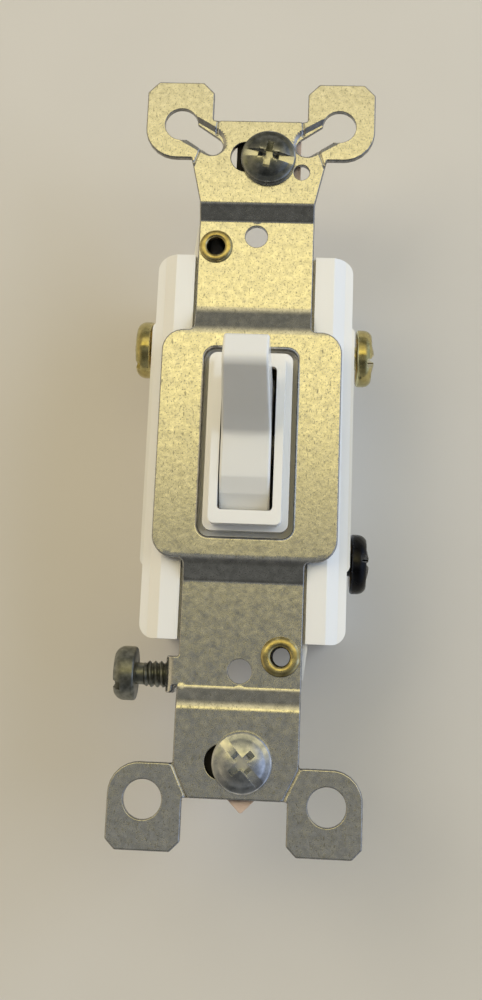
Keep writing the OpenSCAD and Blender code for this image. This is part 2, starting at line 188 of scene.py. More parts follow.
class Shader:
    """A Principled material with short helpers for its procedural nodes, in the object's own coordinates."""

    def __init__(self, name, colour, roughness, metallic=0.0, **values):
        self.material = bpy.data.materials.new(name)
        self.material.use_nodes = True
        self.tree = self.material.node_tree
        self.bsdf = self.tree.nodes["Principled BSDF"]
        self.bsdf.inputs["Base Color"].default_value = (*colour, 1)
        self.bsdf.inputs["Roughness"].default_value = roughness
        self.bsdf.inputs["Metallic"].default_value = metallic
        for key, value in values.items():
            self.bsdf.inputs[key.replace("_", " ")].default_value = value
        self.coords = self.tree.nodes.new("ShaderNodeTexCoord").outputs["Object"]

    def link(self, source, target):
        self.tree.links.new(source, target)

    def noise(self, scale, detail, stretch=None):
        node = self.tree.nodes.new("ShaderNodeTexNoise")
        node.inputs["Scale"].default_value = scale
        node.inputs["Detail"].default_value = detail
        self.link(self.place(stretch), node.inputs["Vector"])
        return node.outputs["Fac"]

    def place(self, stretch):
        if stretch is None:
            return self.coords
        node = self.tree.nodes.new("ShaderNodeMapping")
        node.inputs["Scale"].default_value = stretch
        self.link(self.coords, node.inputs["Vector"])
        return node.outputs["Vector"]

    def range(self, source, low, high, out_low, out_high):
        node = self.tree.nodes.new("ShaderNodeMapRange")
        for key, value in zip(("From Min", "From Max", "To Min", "To Max"), (low, high, out_low, out_high)):
            node.inputs[key].default_value = value
        self.link(source, node.inputs["Value"])
        return node.outputs["Result"]

    def mix(self, share, first, second):
        return mix_node(self.tree, share, first, second)

    def math(self, operation, first, second=0.0):
        return math_node(self.tree, operation, first, second)

    def axis(self, name, source=None):
        """One coordinate of the object's own space in metres, or of another vector."""
        node = self.tree.nodes.new("ShaderNodeSeparateXYZ")
        self.link(source or self.coords, node.inputs[0])
        return node.outputs[name]

    def stored(self, name):
        """A value kept on the points of the mesh."""
        node = self.tree.nodes.new("ShaderNodeAttribute")
        node.attribute_name = name
        return node.outputs["Fac"]

    def edges(self, low=0.505, high=0.56):
        """1 on worn convex edges, 0 elsewhere."""
        point = self.tree.nodes.new("ShaderNodeNewGeometry").outputs["Pointiness"]
        return self.range(point, low, high, 0.0, 1.0)

    def colour(self, source):
        self.link(source, self.bsdf.inputs["Base Color"])

    def roughness(self, source):
        self.link(source, self.bsdf.inputs["Roughness"])

    def bump(self, source, height, strength, under=None):
        """Height is the relief in millimetres, and under is a bump that this one lies on."""
        node = self.tree.nodes.new("ShaderNodeBump")
        node.inputs["Distance"].default_value = height * MM
        node.inputs["Strength"].default_value = strength
        self.link(source, node.inputs["Height"])
        if under is not None:
            self.link(under, node.inputs["Normal"])
        self.link(node.outputs["Normal"], self.bsdf.inputs["Normal"])
        return node.outputs["Normal"]


def floor_material():
    s = Shader("pale_floor", (0.62, 0.59, 0.54), 0.6)
    s.colour(s.mix(s.noise(30, 2), (0.60, 0.57, 0.52), (0.65, 0.62, 0.57)))
    return s.material


def galvanised_steel():
    """Zinc-coated sheet: fine crystals, dark specks, short marks along the strip, and cut edges painted dark,
    partly as painted shade.
    """
    s = Shader("galvanised_steel", (0.62, 0.61, 0.58), 0.26, metallic=1.0)
    tone = s.range(s.noise(1300, 4), 0.32, 0.68, 0.0, 1.0)
    base = s.mix(tone, (0.58, 0.575, 0.55), (0.78, 0.77, 0.74))
    base = s.mix(s.range(s.noise(150, 2), 0.3, 0.7, 0.0, 0.35), base, (0.60, 0.60, 0.58))
    fine = s.range(s.noise(3600, 3), 0.56, 0.68, 0.0, 0.5)
    dashes = s.range(s.noise(2200, 2, stretch=(1.5, 0.5, 1)), 0.62, 0.72, 0.0, 0.65)
    specks = s.math("MAXIMUM", fine, dashes)
    worn = s.mix(specks, base, (0.25, 0.25, 0.235))
    # The cut edges are painted near black: partly the bare sheared steel, partly painted shade for the
    # shadowed walls of the edges.
    sheared_and_shade = s.math("MULTIPLY", s.stored("sheared_and_shade"), s.range(s.noise(1500, 3), 0.3, 0.6, 0.7, 1.0))
    s.colour(s.mix(sheared_and_shade, worn, (0.16, 0.16, 0.155)))
    sheen = s.range(s.noise(900, 3), 0.3, 0.7, 0.17, 0.27)
    s.roughness(s.math("ADD", sheen, s.math("MULTIPLY", specks, 0.2)))
    grain = s.bump(s.noise(2300, 4, stretch=(1.2, 0.8, 1)), 0.012, 0.8)
    s.bump(s.noise(500, 2), 0.012, 0.35, under=grain)
    return s.material


def white_plastic(name, colour, gloss):
    """Moulded plastic with a little light inside it and a fine mould texture."""
    s = Shader(name, colour, gloss, Subsurface_Weight=0.12, Subsurface_Scale=0.002)
    s.bsdf.inputs["Subsurface Radius"].default_value = (1.0, 0.9, 0.8)
    s.bsdf.inputs["IOR"].default_value = 1.53
    shade = tuple(c * 0.98 for c in colour)
    s.colour(s.mix(s.range(s.noise(180, 3), 0.3, 0.7, 0.0, 1.0), shade, colour))
    s.roughness(s.range(s.noise(2600, 2), 0.3, 0.7, gloss - 0.015, gloss + 0.03))
    s.bump(s.noise(2200, 2), 0.01, 0.25)
    return s.material


def metal(name, dark, light, rough, worn=None):
    """Plated metal with a clouded tone; worn is the brighter colour that shows on rubbed edges."""
    s = Shader(name, light, rough, metallic=1.0)
    base = s.mix(s.range(s.noise(1200, 4), 0.32, 0.68, 0.0, 1.0), dark, light)
    if worn:
        base = s.mix(s.edges(), base, worn)
    s.colour(base)
    s.roughness(s.range(s.noise(720, 3), 0.3, 0.7, rough - 0.08, rough + 0.12))
    s.bump(s.noise(3000, 3), 0.02, 0.4)
    return s.material


def eyelet_brass():
    """Bright lips at both ends, and between them a barrel painted near black: painted shade down the bore,
    with some tarnish.
    """
    s = Shader("eyelet_brass", (0.62, 0.52, 0.24), 0.28, metallic=1.0)
    clouds = s.range(s.noise(900, 4), 0.32, 0.68, 0.0, 1.0)
    base = s.mix(clouds, (0.40, 0.32, 0.13), (0.74, 0.64, 0.32))
    base = s.mix(s.edges(0.53, 0.62), base, (0.86, 0.78, 0.48))
    # Painted shade: the barrel between the rolled lip and the clinched end is painted near black and made
    # rougher, for the shade down the bore, with some tarnish.
    below_lip = s.range(s.axis("Z"), -0.35 * MM, 0.1 * MM, 1.0, 0.0)
    above_clinch = s.range(s.axis("Z"), (EYELET_END + 0.1) * MM, (EYELET_END + 0.6) * MM, 0.0, 1.0)
    bore_shade_and_tarnish = s.math("MULTIPLY", below_lip, above_clinch)
    s.colour(s.mix(bore_shade_and_tarnish, base, (0.035, 0.028, 0.016)))
    sheen = s.range(s.noise(700, 3), 0.3, 0.7, 0.2, 0.34)
    s.roughness(s.math("ADD", sheen, s.math("MULTIPLY", bore_shade_and_tarnish, 0.3)))
    s.bump(s.noise(1800, 3), 0.015, 0.5)
    return s.material


def fibre():
    """Pressed fibre, its front face painted near black round the screw: painted shade where the screw head
    and the slot walls shade it.
    """
    s = Shader("fibre", (0.60, 0.44, 0.33), 0.8)
    board = s.mix(s.noise(1500, 5, stretch=(1, 3, 1)), (0.48, 0.35, 0.27), (0.66, 0.52, 0.43))
    # Painted shade: near black on the front face within about 5 mm of the screw's axis, with a ragged edge.
    across = s.math("POWER", s.axis("X"), 2.0)
    along = s.math("ABSOLUTE", s.math("SUBTRACT", s.math("ABSOLUTE", s.axis("Y")), BOX_SLOT_Y * MM))
    square = s.math("ADD", across, s.math("POWER", along, 2.0))
    reach = s.math("ADD", s.math("SQRT", square), s.math("MULTIPLY", s.noise(600, 2), 0.8 * MM))
    painted_shade = s.range(reach, 4.8 * MM, 5.3 * MM, 1.0, 0.0)
    normal = s.tree.nodes.new("ShaderNodeTexCoord").outputs["Normal"]
    front = s.range(s.axis("Z", normal), 0.2, 0.6, 0.0, 1.0)
    s.colour(s.mix(s.math("MULTIPLY", painted_shade, front), board, (0.012, 0.011, 0.010)))
    s.bump(s.noise(3000, 4), 0.05, 0.6)
    return s.material


# Distance of the box-screw slots from the middle of the strap
BOX_SLOT_Y = 41.67
# Height of the lugs' underside, where the eyelets are clinched
EYELET_END = -12.0

MATERIALS = {
    "galvanised_steel": galvanised_steel(),
    "cover_plastic": white_plastic("cover_plastic", (0.82, 0.81, 0.78), 0.24),
    "housing_plastic": white_plastic("housing_plastic", (0.80, 0.79, 0.76), 0.32),
    "handle_plastic": white_plastic("handle_plastic", (0.735, 0.73, 0.705), 0.18),
    "eyelet_brass": eyelet_brass(),
    "screw_brass": metal(
        "screw_brass", (0.30, 0.25, 0.08), (0.60, 0.51, 0.20), 0.20, (0.84, 0.76, 0.44)),
    "contact_brass": metal("contact_brass", (0.58, 0.40, 0.17), (0.82, 0.61, 0.30), 0.30),
    "contact_silver": metal("contact_silver", (0.66, 0.66, 0.64), (0.88, 0.88, 0.86), 0.25),
    "spring_steel": metal("spring_steel", (0.40, 0.40, 0.42), (0.62, 0.62, 0.64), 0.28),
    "black_oxide": metal(
        "black_oxide", (0.006, 0.006, 0.007), (0.018, 0.019, 0.021), 0.26, (0.06, 0.06, 0.065)),
    "ground_screw_finish": metal("ground_screw_finish", (0.15, 0.155, 0.14), (0.33, 0.34, 0.31), 0.38),
    "dark_zinc": metal("dark_zinc", (0.15, 0.16, 0.15), (0.32, 0.33, 0.31), 0.24, (0.60, 0.60, 0.56)),
    "bright_zinc": metal("bright_zinc", (0.42, 0.45, 0.48), (0.72, 0.74, 0.76), 0.26, (0.85, 0.85, 0.85)),
    "fibre": fibre(),
}
SLOT_OF = {s["node"]: s["material_slot"] for s in frame["record"]["subparts"]}


def soften(name, width, segments):
    """Rounds the moulded or stamped edges of a CAD node that stays visible."""
    node = NODES[name]
    flat = node.modifiers.new("merge_flats", "DECIMATE")
    flat.decimate_type = "DISSOLVE"
    flat.angle_limit = math.radians(0.5)
    bevel = node.modifiers.new("round_edges", "BEVEL")
    bevel.width = width * MM
    bevel.segments = segments
    bevel.limit_method = "ANGLE"
    bevel.angle_limit = math.radians(30)
    bevel.use_clamp_overlap = True
    normals = node.modifiers.new("flat_faces", "WEIGHTED_NORMAL")
    normals.keep_sharp = True
    node.data.polygons.foreach_set("use_smooth", [True] * len(node.data.polygons))


def finish_cad_nodes():
    """Paints every CAD node and rounds the edges of those that show."""
    for name, node in NODES.items():
        node.data.materials.clear()
        node.data.materials.append(MATERIALS[SLOT_OF[name]])
    for name in ("front_cover", "back_housing"):
        soften(name, 0.25, 3)
    for name in ("common_terminal", "traveller_terminal_left", "traveller_terminal_right"):
        soften(name, 0.12, 2)


# ---- Mesh tools: outlines, bent sheets, turned shapes, threads ----

def add_piece(name, points, faces, normals=None, sheared_and_shade=None, sharp=35):
    """Makes a mesh object from points in millimetres, shaded by its normals or smooth up to an angle.

    The cut-edge flags are 1 at the points of a cut edge and 0 elsewhere, and sharp is the angle in degrees.
    """
    mesh = bpy.data.meshes.new(name)
    mesh.from_pydata([tuple(float(c) * MM for c in p) for p in points], [], faces)
    made = bpy.data.objects.new(name, mesh)
    bpy.context.scene.collection.objects.link(made)
    mesh.polygons.foreach_set("use_smooth", [True] * len(mesh.polygons))
    if normals is None:
        tidy_mesh(mesh, sharp)
    else:
        mesh.normals_split_custom_set_from_vertices([tuple(n) for n in normals])
    if sheared_and_shade is not None:
        mesh.attributes.new("sheared_and_shade", "FLOAT", "POINT").data.foreach_set("value", sheared_and_shade)
    return made


def tidy_mesh(mesh, sharp):
    """Joins points that coincide, turns the faces outwards and marks the sharp edges."""
    build = bmesh.new()
    build.from_mesh(mesh)
    bmesh.ops.remove_doubles(build, verts=build.verts, dist=1e-7)
    bmesh.ops.recalc_face_normals(build, faces=build.faces)
    build.to_mesh(mesh)
    build.free()
    mesh.polygons.foreach_set("use_smooth", [True] * len(mesh.polygons))
    mesh.set_sharp_from_angle(angle=math.radians(sharp))
    mesh.update()


def stand_for(made, node, body):
    """Lets a piece take the place, the material and the motion of a CAD node."""
    made.data.materials.clear()
    made.data.materials.append(MATERIALS[SLOT_OF[node]])
    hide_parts(node)
    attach(made, body)


def rounded(corners, step=0.4):
    """Closed outline through (x, y, radius) corners, each turned into an arc, its points a step apart."""
    count = len(corners)
    line = []
    for i in range(count):
        x, y, radius = corners[i]
        here = Vector((x, y))
        to_last = (Vector(corners[i - 1][:2]) - here).normalized()
        to_next = (Vector(corners[(i + 1) % count][:2]) - here).normalized()
        opening = to_last.angle(to_next, math.pi)
        reach = radius / math.tan(opening / 2)
        first = here + to_last * reach
        last = here + to_next * reach
        pieces = max(2, int(math.degrees(math.pi - opening) / 12))
        centre = here + (to_last + to_next).normalized() * (radius / math.sin(opening / 2))
        for k in range(pieces + 1):
            point = first.lerp(last, k / pieces)
            line.append(centre + (point - centre).normalized() * radius)
    return spaced([tuple(p) for p in line], step)


def spaced(line, step):
    """Adds points along the long straight runs of a closed outline."""
    out = []
    for i in range(len(line)):
        a = np.array(line[i])
        b = np.array(line[(i + 1) % len(line)])
        parts = max(1, int(np.linalg.norm(b - a) / step))
        for k in range(parts):
            out.append(a + (b - a) * k / parts)
    return np.array(out)


def ring(centre, radius, count=40):
    """Round hole, clockwise."""
    turn = -np.arange(count) * 2 * math.pi / count
    return np.array(centre) + radius * np.stack([np.cos(turn), np.sin(turn)], 1)


def keyhole(centre, radius, end, half):
    """Round hole that runs out into a slot, clockwise; with radius equal to half it is a plain slot."""
    centre = np.array(centre, float)
    along = np.array(end, float) - centre
    reach = np.linalg.norm(along)
    along = along / reach
    across = np.array([-along[1], along[0]])
    meet = math.asin(min(half / radius, 1.0))
    big = np.linspace(meet, 2 * math.pi - meet, 36)
    tip = np.linspace(-math.pi / 2, math.pi / 2, 18)
    line = [centre + radius * (along * math.cos(a) + across * math.sin(a)) for a in big]
    line += [centre + along * (reach + half * math.cos(a)) + across * half * math.sin(a) for a in tip]
    return spaced(line, 0.3)[::-1]


def inset(line, distance):
    """Moves a closed outline into the sheet, which lies to the left of its direction."""
    after = np.roll(line, -1, 0) - line
    before = line - np.roll(line, 1, 0)
    sides = []
    for edge in (before, after):
        edge = edge / np.maximum(np.linalg.norm(edge, axis=1), 1e-9)[:, None]
        sides.append(np.stack([-edge[:, 1], edge[:, 0]], 1))
    middle = sides[0] + sides[1]
    middle /= np.maximum(np.linalg.norm(middle, axis=1), 1e-9)[:, None]
    lean = np.maximum((middle * sides[0]).sum(1), 0.6)
    return line + middle * (distance / lean)[:, None]


def inside(points, lines):
    """True for points inside the first outline and outside the others, by counting crossings."""
    hit = np.zeros(len(points), bool)
    for line in lines:
        for start, end in zip(line, np.roll(line, -1, 0)):
            if start[1] == end[1]:
                continue
            level = (points[:, 1] < start[1]) != (points[:, 1] < end[1])
            cross = start[0] + (points[:, 1] - start[1]) * (end[0] - start[0]) / (end[1] - start[1])
            hit ^= level & (points[:, 0] < cross)
    return hit


def clear_of(points, lines, gap):
    """True for points at least a gap away from every outline point."""
    free = np.ones(len(points), bool)
    for line in lines:
        for start in range(0, len(line), 64):
            part = line[start:start + 64]
            free &= (((points[:, None] - part[None]) ** 2).sum(2) > gap * gap).all(1)
    return free


def outward(line):
    """Direction out of the sheet at each point of a closed outline."""
    steps = np.roll(line, -1, 0) - np.roll(line, 1, 0)
    steps /= np.maximum(np.linalg.norm(steps, axis=1), 1e-9)[:, None]
    return np.stack([steps[:, 1], -steps[:, 0]], 1)


def face_frame(place, x, y, depth):
    """The two directions along the bent face and its normal, by small differences."""
    step = 0.03
    along = (place(x + step, y, depth) - place(x - step, y, depth)) / (2 * step)
    across = (place(x, y + step, depth) - place(x, y - step, depth)) / (2 * step)
    normal = np.cross(along, across)
    return along, across, normal / np.linalg.norm(normal, axis=1)[:, None]


def sheet(outlines, inner, thickness, place, rims, back_rim=0.08):
    """Sheet with rounded edges as points, faces, normals and sheared edges, from its edge and its holes.

    inner are points between the edges, place turns arrays of x, y and the depth below the front face
    into points in space, and rims are the radii of the front edge of each outline.
    """
    turns = np.radians([0, 15, 30, 50, 70, 90])
    points = []
    normals = []
    sheared_and_shade = []
    faces = []
    front = []
    back = []
    for line, rim in zip(outlines, rims):
        rows = [(rim - rim * math.sin(t), rim - rim * math.cos(t), t) for t in turns]
        rows += [
            (back_rim - back_rim * math.sin(t), thickness - back_rim + back_rim * math.cos(t), math.pi - t)
            for t in turns[::-1]
        ]
        starts = []
        out = outward(line)
        for way_in, depth, turn in rows:
            moved = inset(line, way_in)
            starts.append(len(points))
            level = np.full(len(line), depth)
            points.extend(place(moved[:, 0], moved[:, 1], level))
            along, across, up = face_frame(place, moved[:, 0], moved[:, 1], level)
            side = along * out[:, :1] + across * out[:, 1:]
            side /= np.linalg.norm(side, axis=1)[:, None]
            lean = up * math.cos(turn) + side * math.sin(turn)
            normals.extend(lean / np.linalg.norm(lean, axis=1)[:, None])
            sheared_and_shade.extend([float(math.radians(40) < turn < math.radians(170))] * len(line))
        front.append((inset(line, rim), starts[0]))
        back.append((inset(line, back_rim), starts[-1]))
        count = len(line)
        for top, low in zip(starts, starts[1:]):
            for i in range(count):
                j = (i + 1) % count
                faces.append((top + i, low + i, low + j, top + j))
    for loops, depth, side in ((front, 0.0, 1), (back, thickness, -1)):
        level = np.full(len(inner), depth)
        start = len(points)
        points.extend(place(inner[:, 0], inner[:, 1], level))
        normals.extend(side * face_frame(place, inner[:, 0], inner[:, 1], level)[2])
        sheared_and_shade.extend([0.0] * len(inner))
        for face in fill(loops, inner, start):
            faces.append(face[::side])
    return points, faces, normals, sheared_and_shade


def fill(loops, inner, inner_start):
    """Triangles between the edge loops of one face of a sheet, as numbers of its points."""
    lines = [line for line, _ in loops]
    flat = np.concatenate(lines + [inner])
    index = np.concatenate([start + np.arange(len(line)) for line, start in loops])
    index = np.concatenate([index, inner_start + np.arange(len(inner))]).astype(int)
    edges = []
    at = 0
    for line in lines:
        edges += [(at + i, at + (i + 1) % len(line)) for i in range(len(line))]
        at += len(line)
    result = geometry.delaunay_2d_cdt([Vector(p) for p in flat], edges, [], 2, 1e-6)
    middles = np.array([sum((result[0][v] for v in face), Vector((0, 0))) / 3 for face in result[2]])
    kept = inside(middles, lines)
    return [tuple(int(index[result[3][v][0]]) for v in face) for face, keep in zip(result[2], kept) if keep]


def turned(profile, count=64):
    """Turned shape as points and faces, from a closed profile of (radius, height)."""
    points = []
    for radius, height in profile:
        for k in range(count):
            turn = 2 * math.pi * k / count
            points.append((radius * math.cos(turn), radius * math.sin(turn), height))
    faces = []
    rows = len(profile)
    for row in range(rows):
        after = (row + 1) % rows
        if profile[row][0] < 1e-6 and profile[after][0] < 1e-6:
            continue
        for k in range(count):
            j = (k + 1) % count
            faces.append((row * count + k, row * count + j, after * count + j, after * count + k))
    return points, faces


def arc(centre, radius, start, end, count=8):
    """Points on an arc of a profile, angles in degrees."""
    turns = np.radians(np.linspace(start, end, count))
    return [(centre[0] + radius * math.cos(t), centre[1] + radius * math.sin(t)) for t in turns]


def thread(radius, depth, top, bottom):
    """Screw thread along -Z from top to bottom, with its last turn run out into a blunt tip."""
    pitch = 0.794
    tip = 0.5
    taper = 0.55
    steps = 10
    count = 40
    rows = int((top - bottom) / pitch * steps) + 1
    points = []
    for row in range(rows + 1):
        height = top - (top - bottom) * row / rows
        for k in range(count):
            phase = ((top - height) / pitch + k / count) % 1.0
            wave = min(max(abs(phase - 0.5) * 2.6 - 0.25, 0.0), 1.0)
            fade = min((top - height) / (0.8 * pitch), 1.0)
            end = min(max((tip - (height - bottom)) / tip, 0.0), 1.0)
            reach = radius - depth * (1 - fade + fade * wave) - taper * end
            turn = 2 * math.pi * k / count
            points.append((reach * math.cos(turn), reach * math.sin(turn), height))
    faces = []
    for row in range(rows):
        for k in range(count):
            j = (k + 1) % count
            faces.append((row * count + k, (row + 1) * count + k, (row + 1) * count + j, row * count + j))
    faces.append(tuple(range(count)))
    faces.append(tuple(rows * count + k for k in range(count))[::-1])
    return points, faces


# ---- Strap ----

STRAP_T = 1.0
STEP_H = 1.4
FRAME_UP = 16.05
FRAME_DOWN = -15.65
FRAME_RUN_UP = 3.2
FRAME_RUN_DOWN = 2.8
EAR_BEND = (32.4, 34.55)
TAB_TURN_X = 8.5
TAB_BEND_R = 1.4
TAB_RUN = (TAB_BEND_R - STRAP_T / 2) * math.pi / 2
TAB_SPAN = (-35, -27)
PLATE_HOLE_Y = 30.165
GAUGE_HOLE = (11.4, 46.5)
COIN = (GAUGE_HOLE, (6.85, 43.86))
COIN_HALF = 2.2
COIN_SLOPE = 0.65
COIN_DEPTH = 0.34
SCORES = (((6.1, 47.9), (6.3, 45.2)), ((8.4, 43.2), (9.3, 40.6)), ((8.7, -41.2), (6.0, -46.8)))
SCORE_DEPTH = 0.3


def ramp(y, start, end, start_blend, end_blend):
    """0 before start, 1 after end, straight between them with the two bends rounded."""

    def bend(at, blend):
        return np.clip(y - (at - blend), 0, 2 * blend) ** 2 / (4 * blend) + np.clip(y - (at + blend), 0, None)

    return (bend(start, start_blend) - bend(end, end_blend)) / (end - start)


def distance_to(x, y, a, b):
    """Distance of points from the straight line between a and b."""
    along = np.array(b) - np.array(a)
    share = np.clip(((x - a[0]) * along[0] + (y - a[1]) * along[1]) / (along @ along), 0, 1)
    return np.hypot(x - a[0] - share * along[0], y - a[1] - share * along[1])


def strap_top(y):
    """Height of the strap's front face before coining: frame and ears high, plate seats low."""
    fall_up = ramp(y, FRAME_UP, FRAME_UP + FRAME_RUN_UP, 0.7, 0.6)
    fall_down = ramp(-y, -FRAME_DOWN, -FRAME_DOWN + FRAME_RUN_DOWN, 0.7, 0.25)
    up = 1 - fall_up + ramp(y, *EAR_BEND, 0.25, 0.4)
    down = 1 - fall_down + ramp(-y, *EAR_BEND, 0.25, 0.7)
    return STEP_H * np.where(y > 0, up, down)


def strap_relief(x, y):
    """Depth of the coining and the break-off scores in the front face."""
    side = np.abs(x)
    coin = distance_to(side, y, *COIN)
    relief = COIN_DEPTH * np.clip((COIN_HALF - coin) / COIN_SLOPE, 0, 1)
    for a, b in SCORES:
        relief = relief + np.clip(SCORE_DEPTH - distance_to(side, y, a, b), 0, None)
    return relief


def strap_place(x, y, depth):
    """Bends the flat pattern: joggles along Y, and the ground tab turned down at the left."""
    top = strap_top(y) - strap_relief(x, y) * (1 - depth / STRAP_T)
    over = np.clip(-x - TAB_TURN_X, 0, None) * ((y > TAB_SPAN[0]) & (y < TAB_SPAN[1]))
    turn = np.minimum(over / TAB_RUN, 1.0) * math.pi / 2
    reach = TAB_BEND_R - depth
    down = np.clip(over - TAB_RUN, 0, None)
    bent = over > 0
    px = np.where(bent, -TAB_TURN_X - reach * np.sin(turn), x)
    pz = np.where(bent, -TAB_BEND_R + reach * np.cos(turn) - down, top - depth)
    return np.stack([px, y, pz], 1)


def strap_edge():
    """Flat pattern of the strap, anticlockwise."""
    half = 8.2
    ear_in = 6.8
    ear_out = 16.5
    right = [
        (ear_in, -46.3, 0.25), (ear_in, -51.7, 0.35), (ear_in + 1.3, -53, 0.35), (ear_out - 1.3, -53, 0.35),
        (ear_out, -51.7, 0.35), (ear_out, -42.05, 4), (half, -42.05, 0.25), (half, FRAME_DOWN, 0.7),
        (12.5, FRAME_DOWN, 3), (12.5, FRAME_UP, 3), (half, FRAME_UP, 0.7), (half, 34.8, 2),
        (9.7, 41.35, 0.25), (ear_out, 41.35, 4.5), (ear_out, 51.4, 0.4), (ear_out - 1.6, 53, 0.4),
        (ear_in + 1.6, 53, 0.4), (ear_in, 51.4, 0.4), (ear_in, 47.2, 0.3),
    ]
    tab_end = -TAB_TURN_X - TAB_RUN - 6.4
    tab = [
        (-half, -28.5, 0.3), (tab_end, -28.5, 1.0), (tab_end, -33.3, 1.0), (-8.75, -33.3, 0.4),
        (-8.75, -32.3, 0.26), (-half, -32.3, 0.26),
    ]
    left = [(-x, y, r) for x, y, r in right[::-1]]
    cut = [i for i, (x, y, r) in enumerate(left) if (x, y) == (-half, FRAME_DOWN)][0] + 1
    return rounded(right + left[:cut] + tab + left[cut:])


def strap_holes():
    """Outlines of the holes with the radius of each one's front edge, clockwise."""
    window = rounded([(-6.45, -12.6, 1.5), (6.45, -12.6, 1.5), (6.45, 13.4, 1.5), (-6.45, 13.4, 1.5)])[::-1]
    gauge = keyhole(GAUGE_HOLE, 2.38, (6.7, 43.3), 1.4)
    holes = [
        (keyhole((-1.85, BOX_SLOT_Y), 2.2, (1.85, BOX_SLOT_Y), 2.2), 0.15),
        (keyhole((-1.85, -BOX_SLOT_Y), 2.2, (1.85, -BOX_SLOT_Y), 2.2), 0.15),
        (ring((0, PLATE_HOLE_Y), 1.6), 0.1),
        (ring((0, -PLATE_HOLE_Y), 1.6), 0.1),
        (ring((6.16, 39.44), 1.14, 28), 0.1),
        (ring((-5.7, 28.53), 1.8), 0.1),
        (ring((5.32, -28.1), 1.8), 0.1),
        (ring((11.9, -46.7), 2.5, 48), 0.15),
        (ring((-11.9, -46.7), 2.5, 48), 0.15),
        (ring((-TAB_TURN_X - TAB_RUN - 2.4, -31), 1.8, 32), 0.1),
        (gauge, 0.1),
        ((gauge * np.array([-1, 1]))[::-1], 0.1),
        (window, 0.4),
    ]
    return [line for line, _ in holes], [rim for _, rim in holes]


def strap_inner(lines):
    """Points between the edges: close together in the bends, the coining and the scores."""
    rows = list(np.arange(-52.4, 53, 1.5))
    for start in (FRAME_UP, EAR_BEND[0], FRAME_DOWN - FRAME_RUN_DOWN, -EAR_BEND[1]):
        rows += list(np.arange(start - 0.9, start + 4.3, 0.16))
    grid = [(x, y) for y in rows for x in np.arange(-16.2, 16.3, 1.3)]
    grid += [(-u, y) for u in np.arange(7.2, 16.6, 0.25) for y in np.arange(-32.9, -28.6, 0.55)]
    points = [np.array(grid)]
    for side in (1, -1):
        for a, b in SCORES:
            a, b = np.array(a), np.array(b)
            along = (b - a) / np.linalg.norm(b - a)
            across = np.array([-along[1], along[0]])
            for off in (-SCORE_DEPTH - 0.03, -0.04, 0.04, SCORE_DEPTH + 0.03):
                run = np.arange(0, np.linalg.norm(b - a), 0.2)[:, None]
                points.append((a + across * off + along * run) * [side, 1])
        for off in np.array([-0.06, 0.04, 0.32, COIN_SLOPE - 0.04, COIN_SLOPE + 0.06]):
            stadium = spaced(keyhole(COIN[0], COIN_HALF - off, COIN[1], COIN_HALF - off), 0.2)
            points.append(stadium * [side, 1])
    points = np.concatenate(points)
    points = points[inside(points, lines)]
    return points[clear_of(points, lines, 0.13)]


def make_strap():
    holes, hole_rims = strap_holes()
    lines = [strap_edge()] + holes
    rims = [0.22] + hole_rims
    close = [inset(line, rim) for line, rim in zip(lines, rims)]
    strap = add_piece("strap_sheet", *sheet(lines, strap_inner(close), STRAP_T, strap_place, rims))
    stand_for(strap, "strap", "chassis")


# ---- Handle ----

HANDLE_W = 6.8
HANDLE_SHIFT = -0.15
TIP_W = 5.9
HANDLE_TILT = math.radians(30)


def handle_place(y, z, depth):
    """Puts a point of the handle's side view, at a depth below its right side, where the tilted handle is."""
    width = HANDLE_W + (TIP_W - HANDLE_W) * np.clip((z - 6.5) / 15.4, 0, 1)
    x = HANDLE_SHIFT + (HANDLE_W / 2 - depth) * width / HANDLE_W
    cos, sin = math.cos(HANDLE_TILT), math.sin(HANDLE_TILT)
    pivot = handle_pivot()
    return np.stack([x, pivot[1] + y * cos + z * sin, pivot[2] - y * sin + z * cos], 1)


def handle_pivot():
    joint = [j for j in frame["record"]["behaviour"]["joints"] if j["name"] == "toggle_pivot"][0]
    return np.array(joint["pos_m"]) / MM


def make_handle():
    """Moulded handle with its drum facets, soft tip, pivots and the socket for its spring."""
    half = [
        (2.5, 20.9, 1.5), (3.7, 7.6, 1.2), (8.8, 4.5, 1.0), (10.3, 2.7, 0.8),
        (11.3, 0.4, 0.5), (11.1, -1.2, 0.4), (9.7, -1.2, 0.45), (7.9, 2.3, 0.6),
        (4.4, 3.4, 0.6), (3.3, -2, 0.5), (3.2, -8, 0.5),
    ]
    outline = rounded([(-y, z, r) for y, z, r in half] + half[::-1])
    lines = [outline]
    close = inset(outline, 0.4)
    grid = np.array([(y, z) for z in np.arange(-7.3, 20.5, 0.9) for y in np.arange(-10.8, 10.9, 0.9)])
    grid = grid[inside(grid, [close])]
    grid = grid[clear_of(grid, [close], 0.35)]
    points, faces, _, _ = sheet(lines, grid, HANDLE_W, handle_place, [0.4], back_rim=0.4)
    handle = add_piece("handle_moulding", points, faces, sharp=50)
    turn = Matrix.Rotation(-HANDLE_TILT, 4, "X")
    pivot = Matrix.Translation(Vector(handle_pivot()) * MM)
    socket = add_piece("socket", *turned([(0, -9), (2.2, -9), (2.2, -2.2), (0, -2.2)], 48))
    socket.data.transform(pivot @ turn)
    carve(handle, [socket])
    pin = [(0, 5.95), (1.4, 5.95), (1.58, 5.75), (1.58, -5.75), (1.4, -5.95), (0, -5.95)]
    add_shells(handle.data, [turned(pin, 48)], pivot @ Matrix.Rotation(math.pi / 2, 4, "Y"), 50)
    normals = handle.modifiers.new("flat_faces", "WEIGHTED_NORMAL")
    normals.keep_sharp = True
    stand_for(handle, "toggle", "toggle")


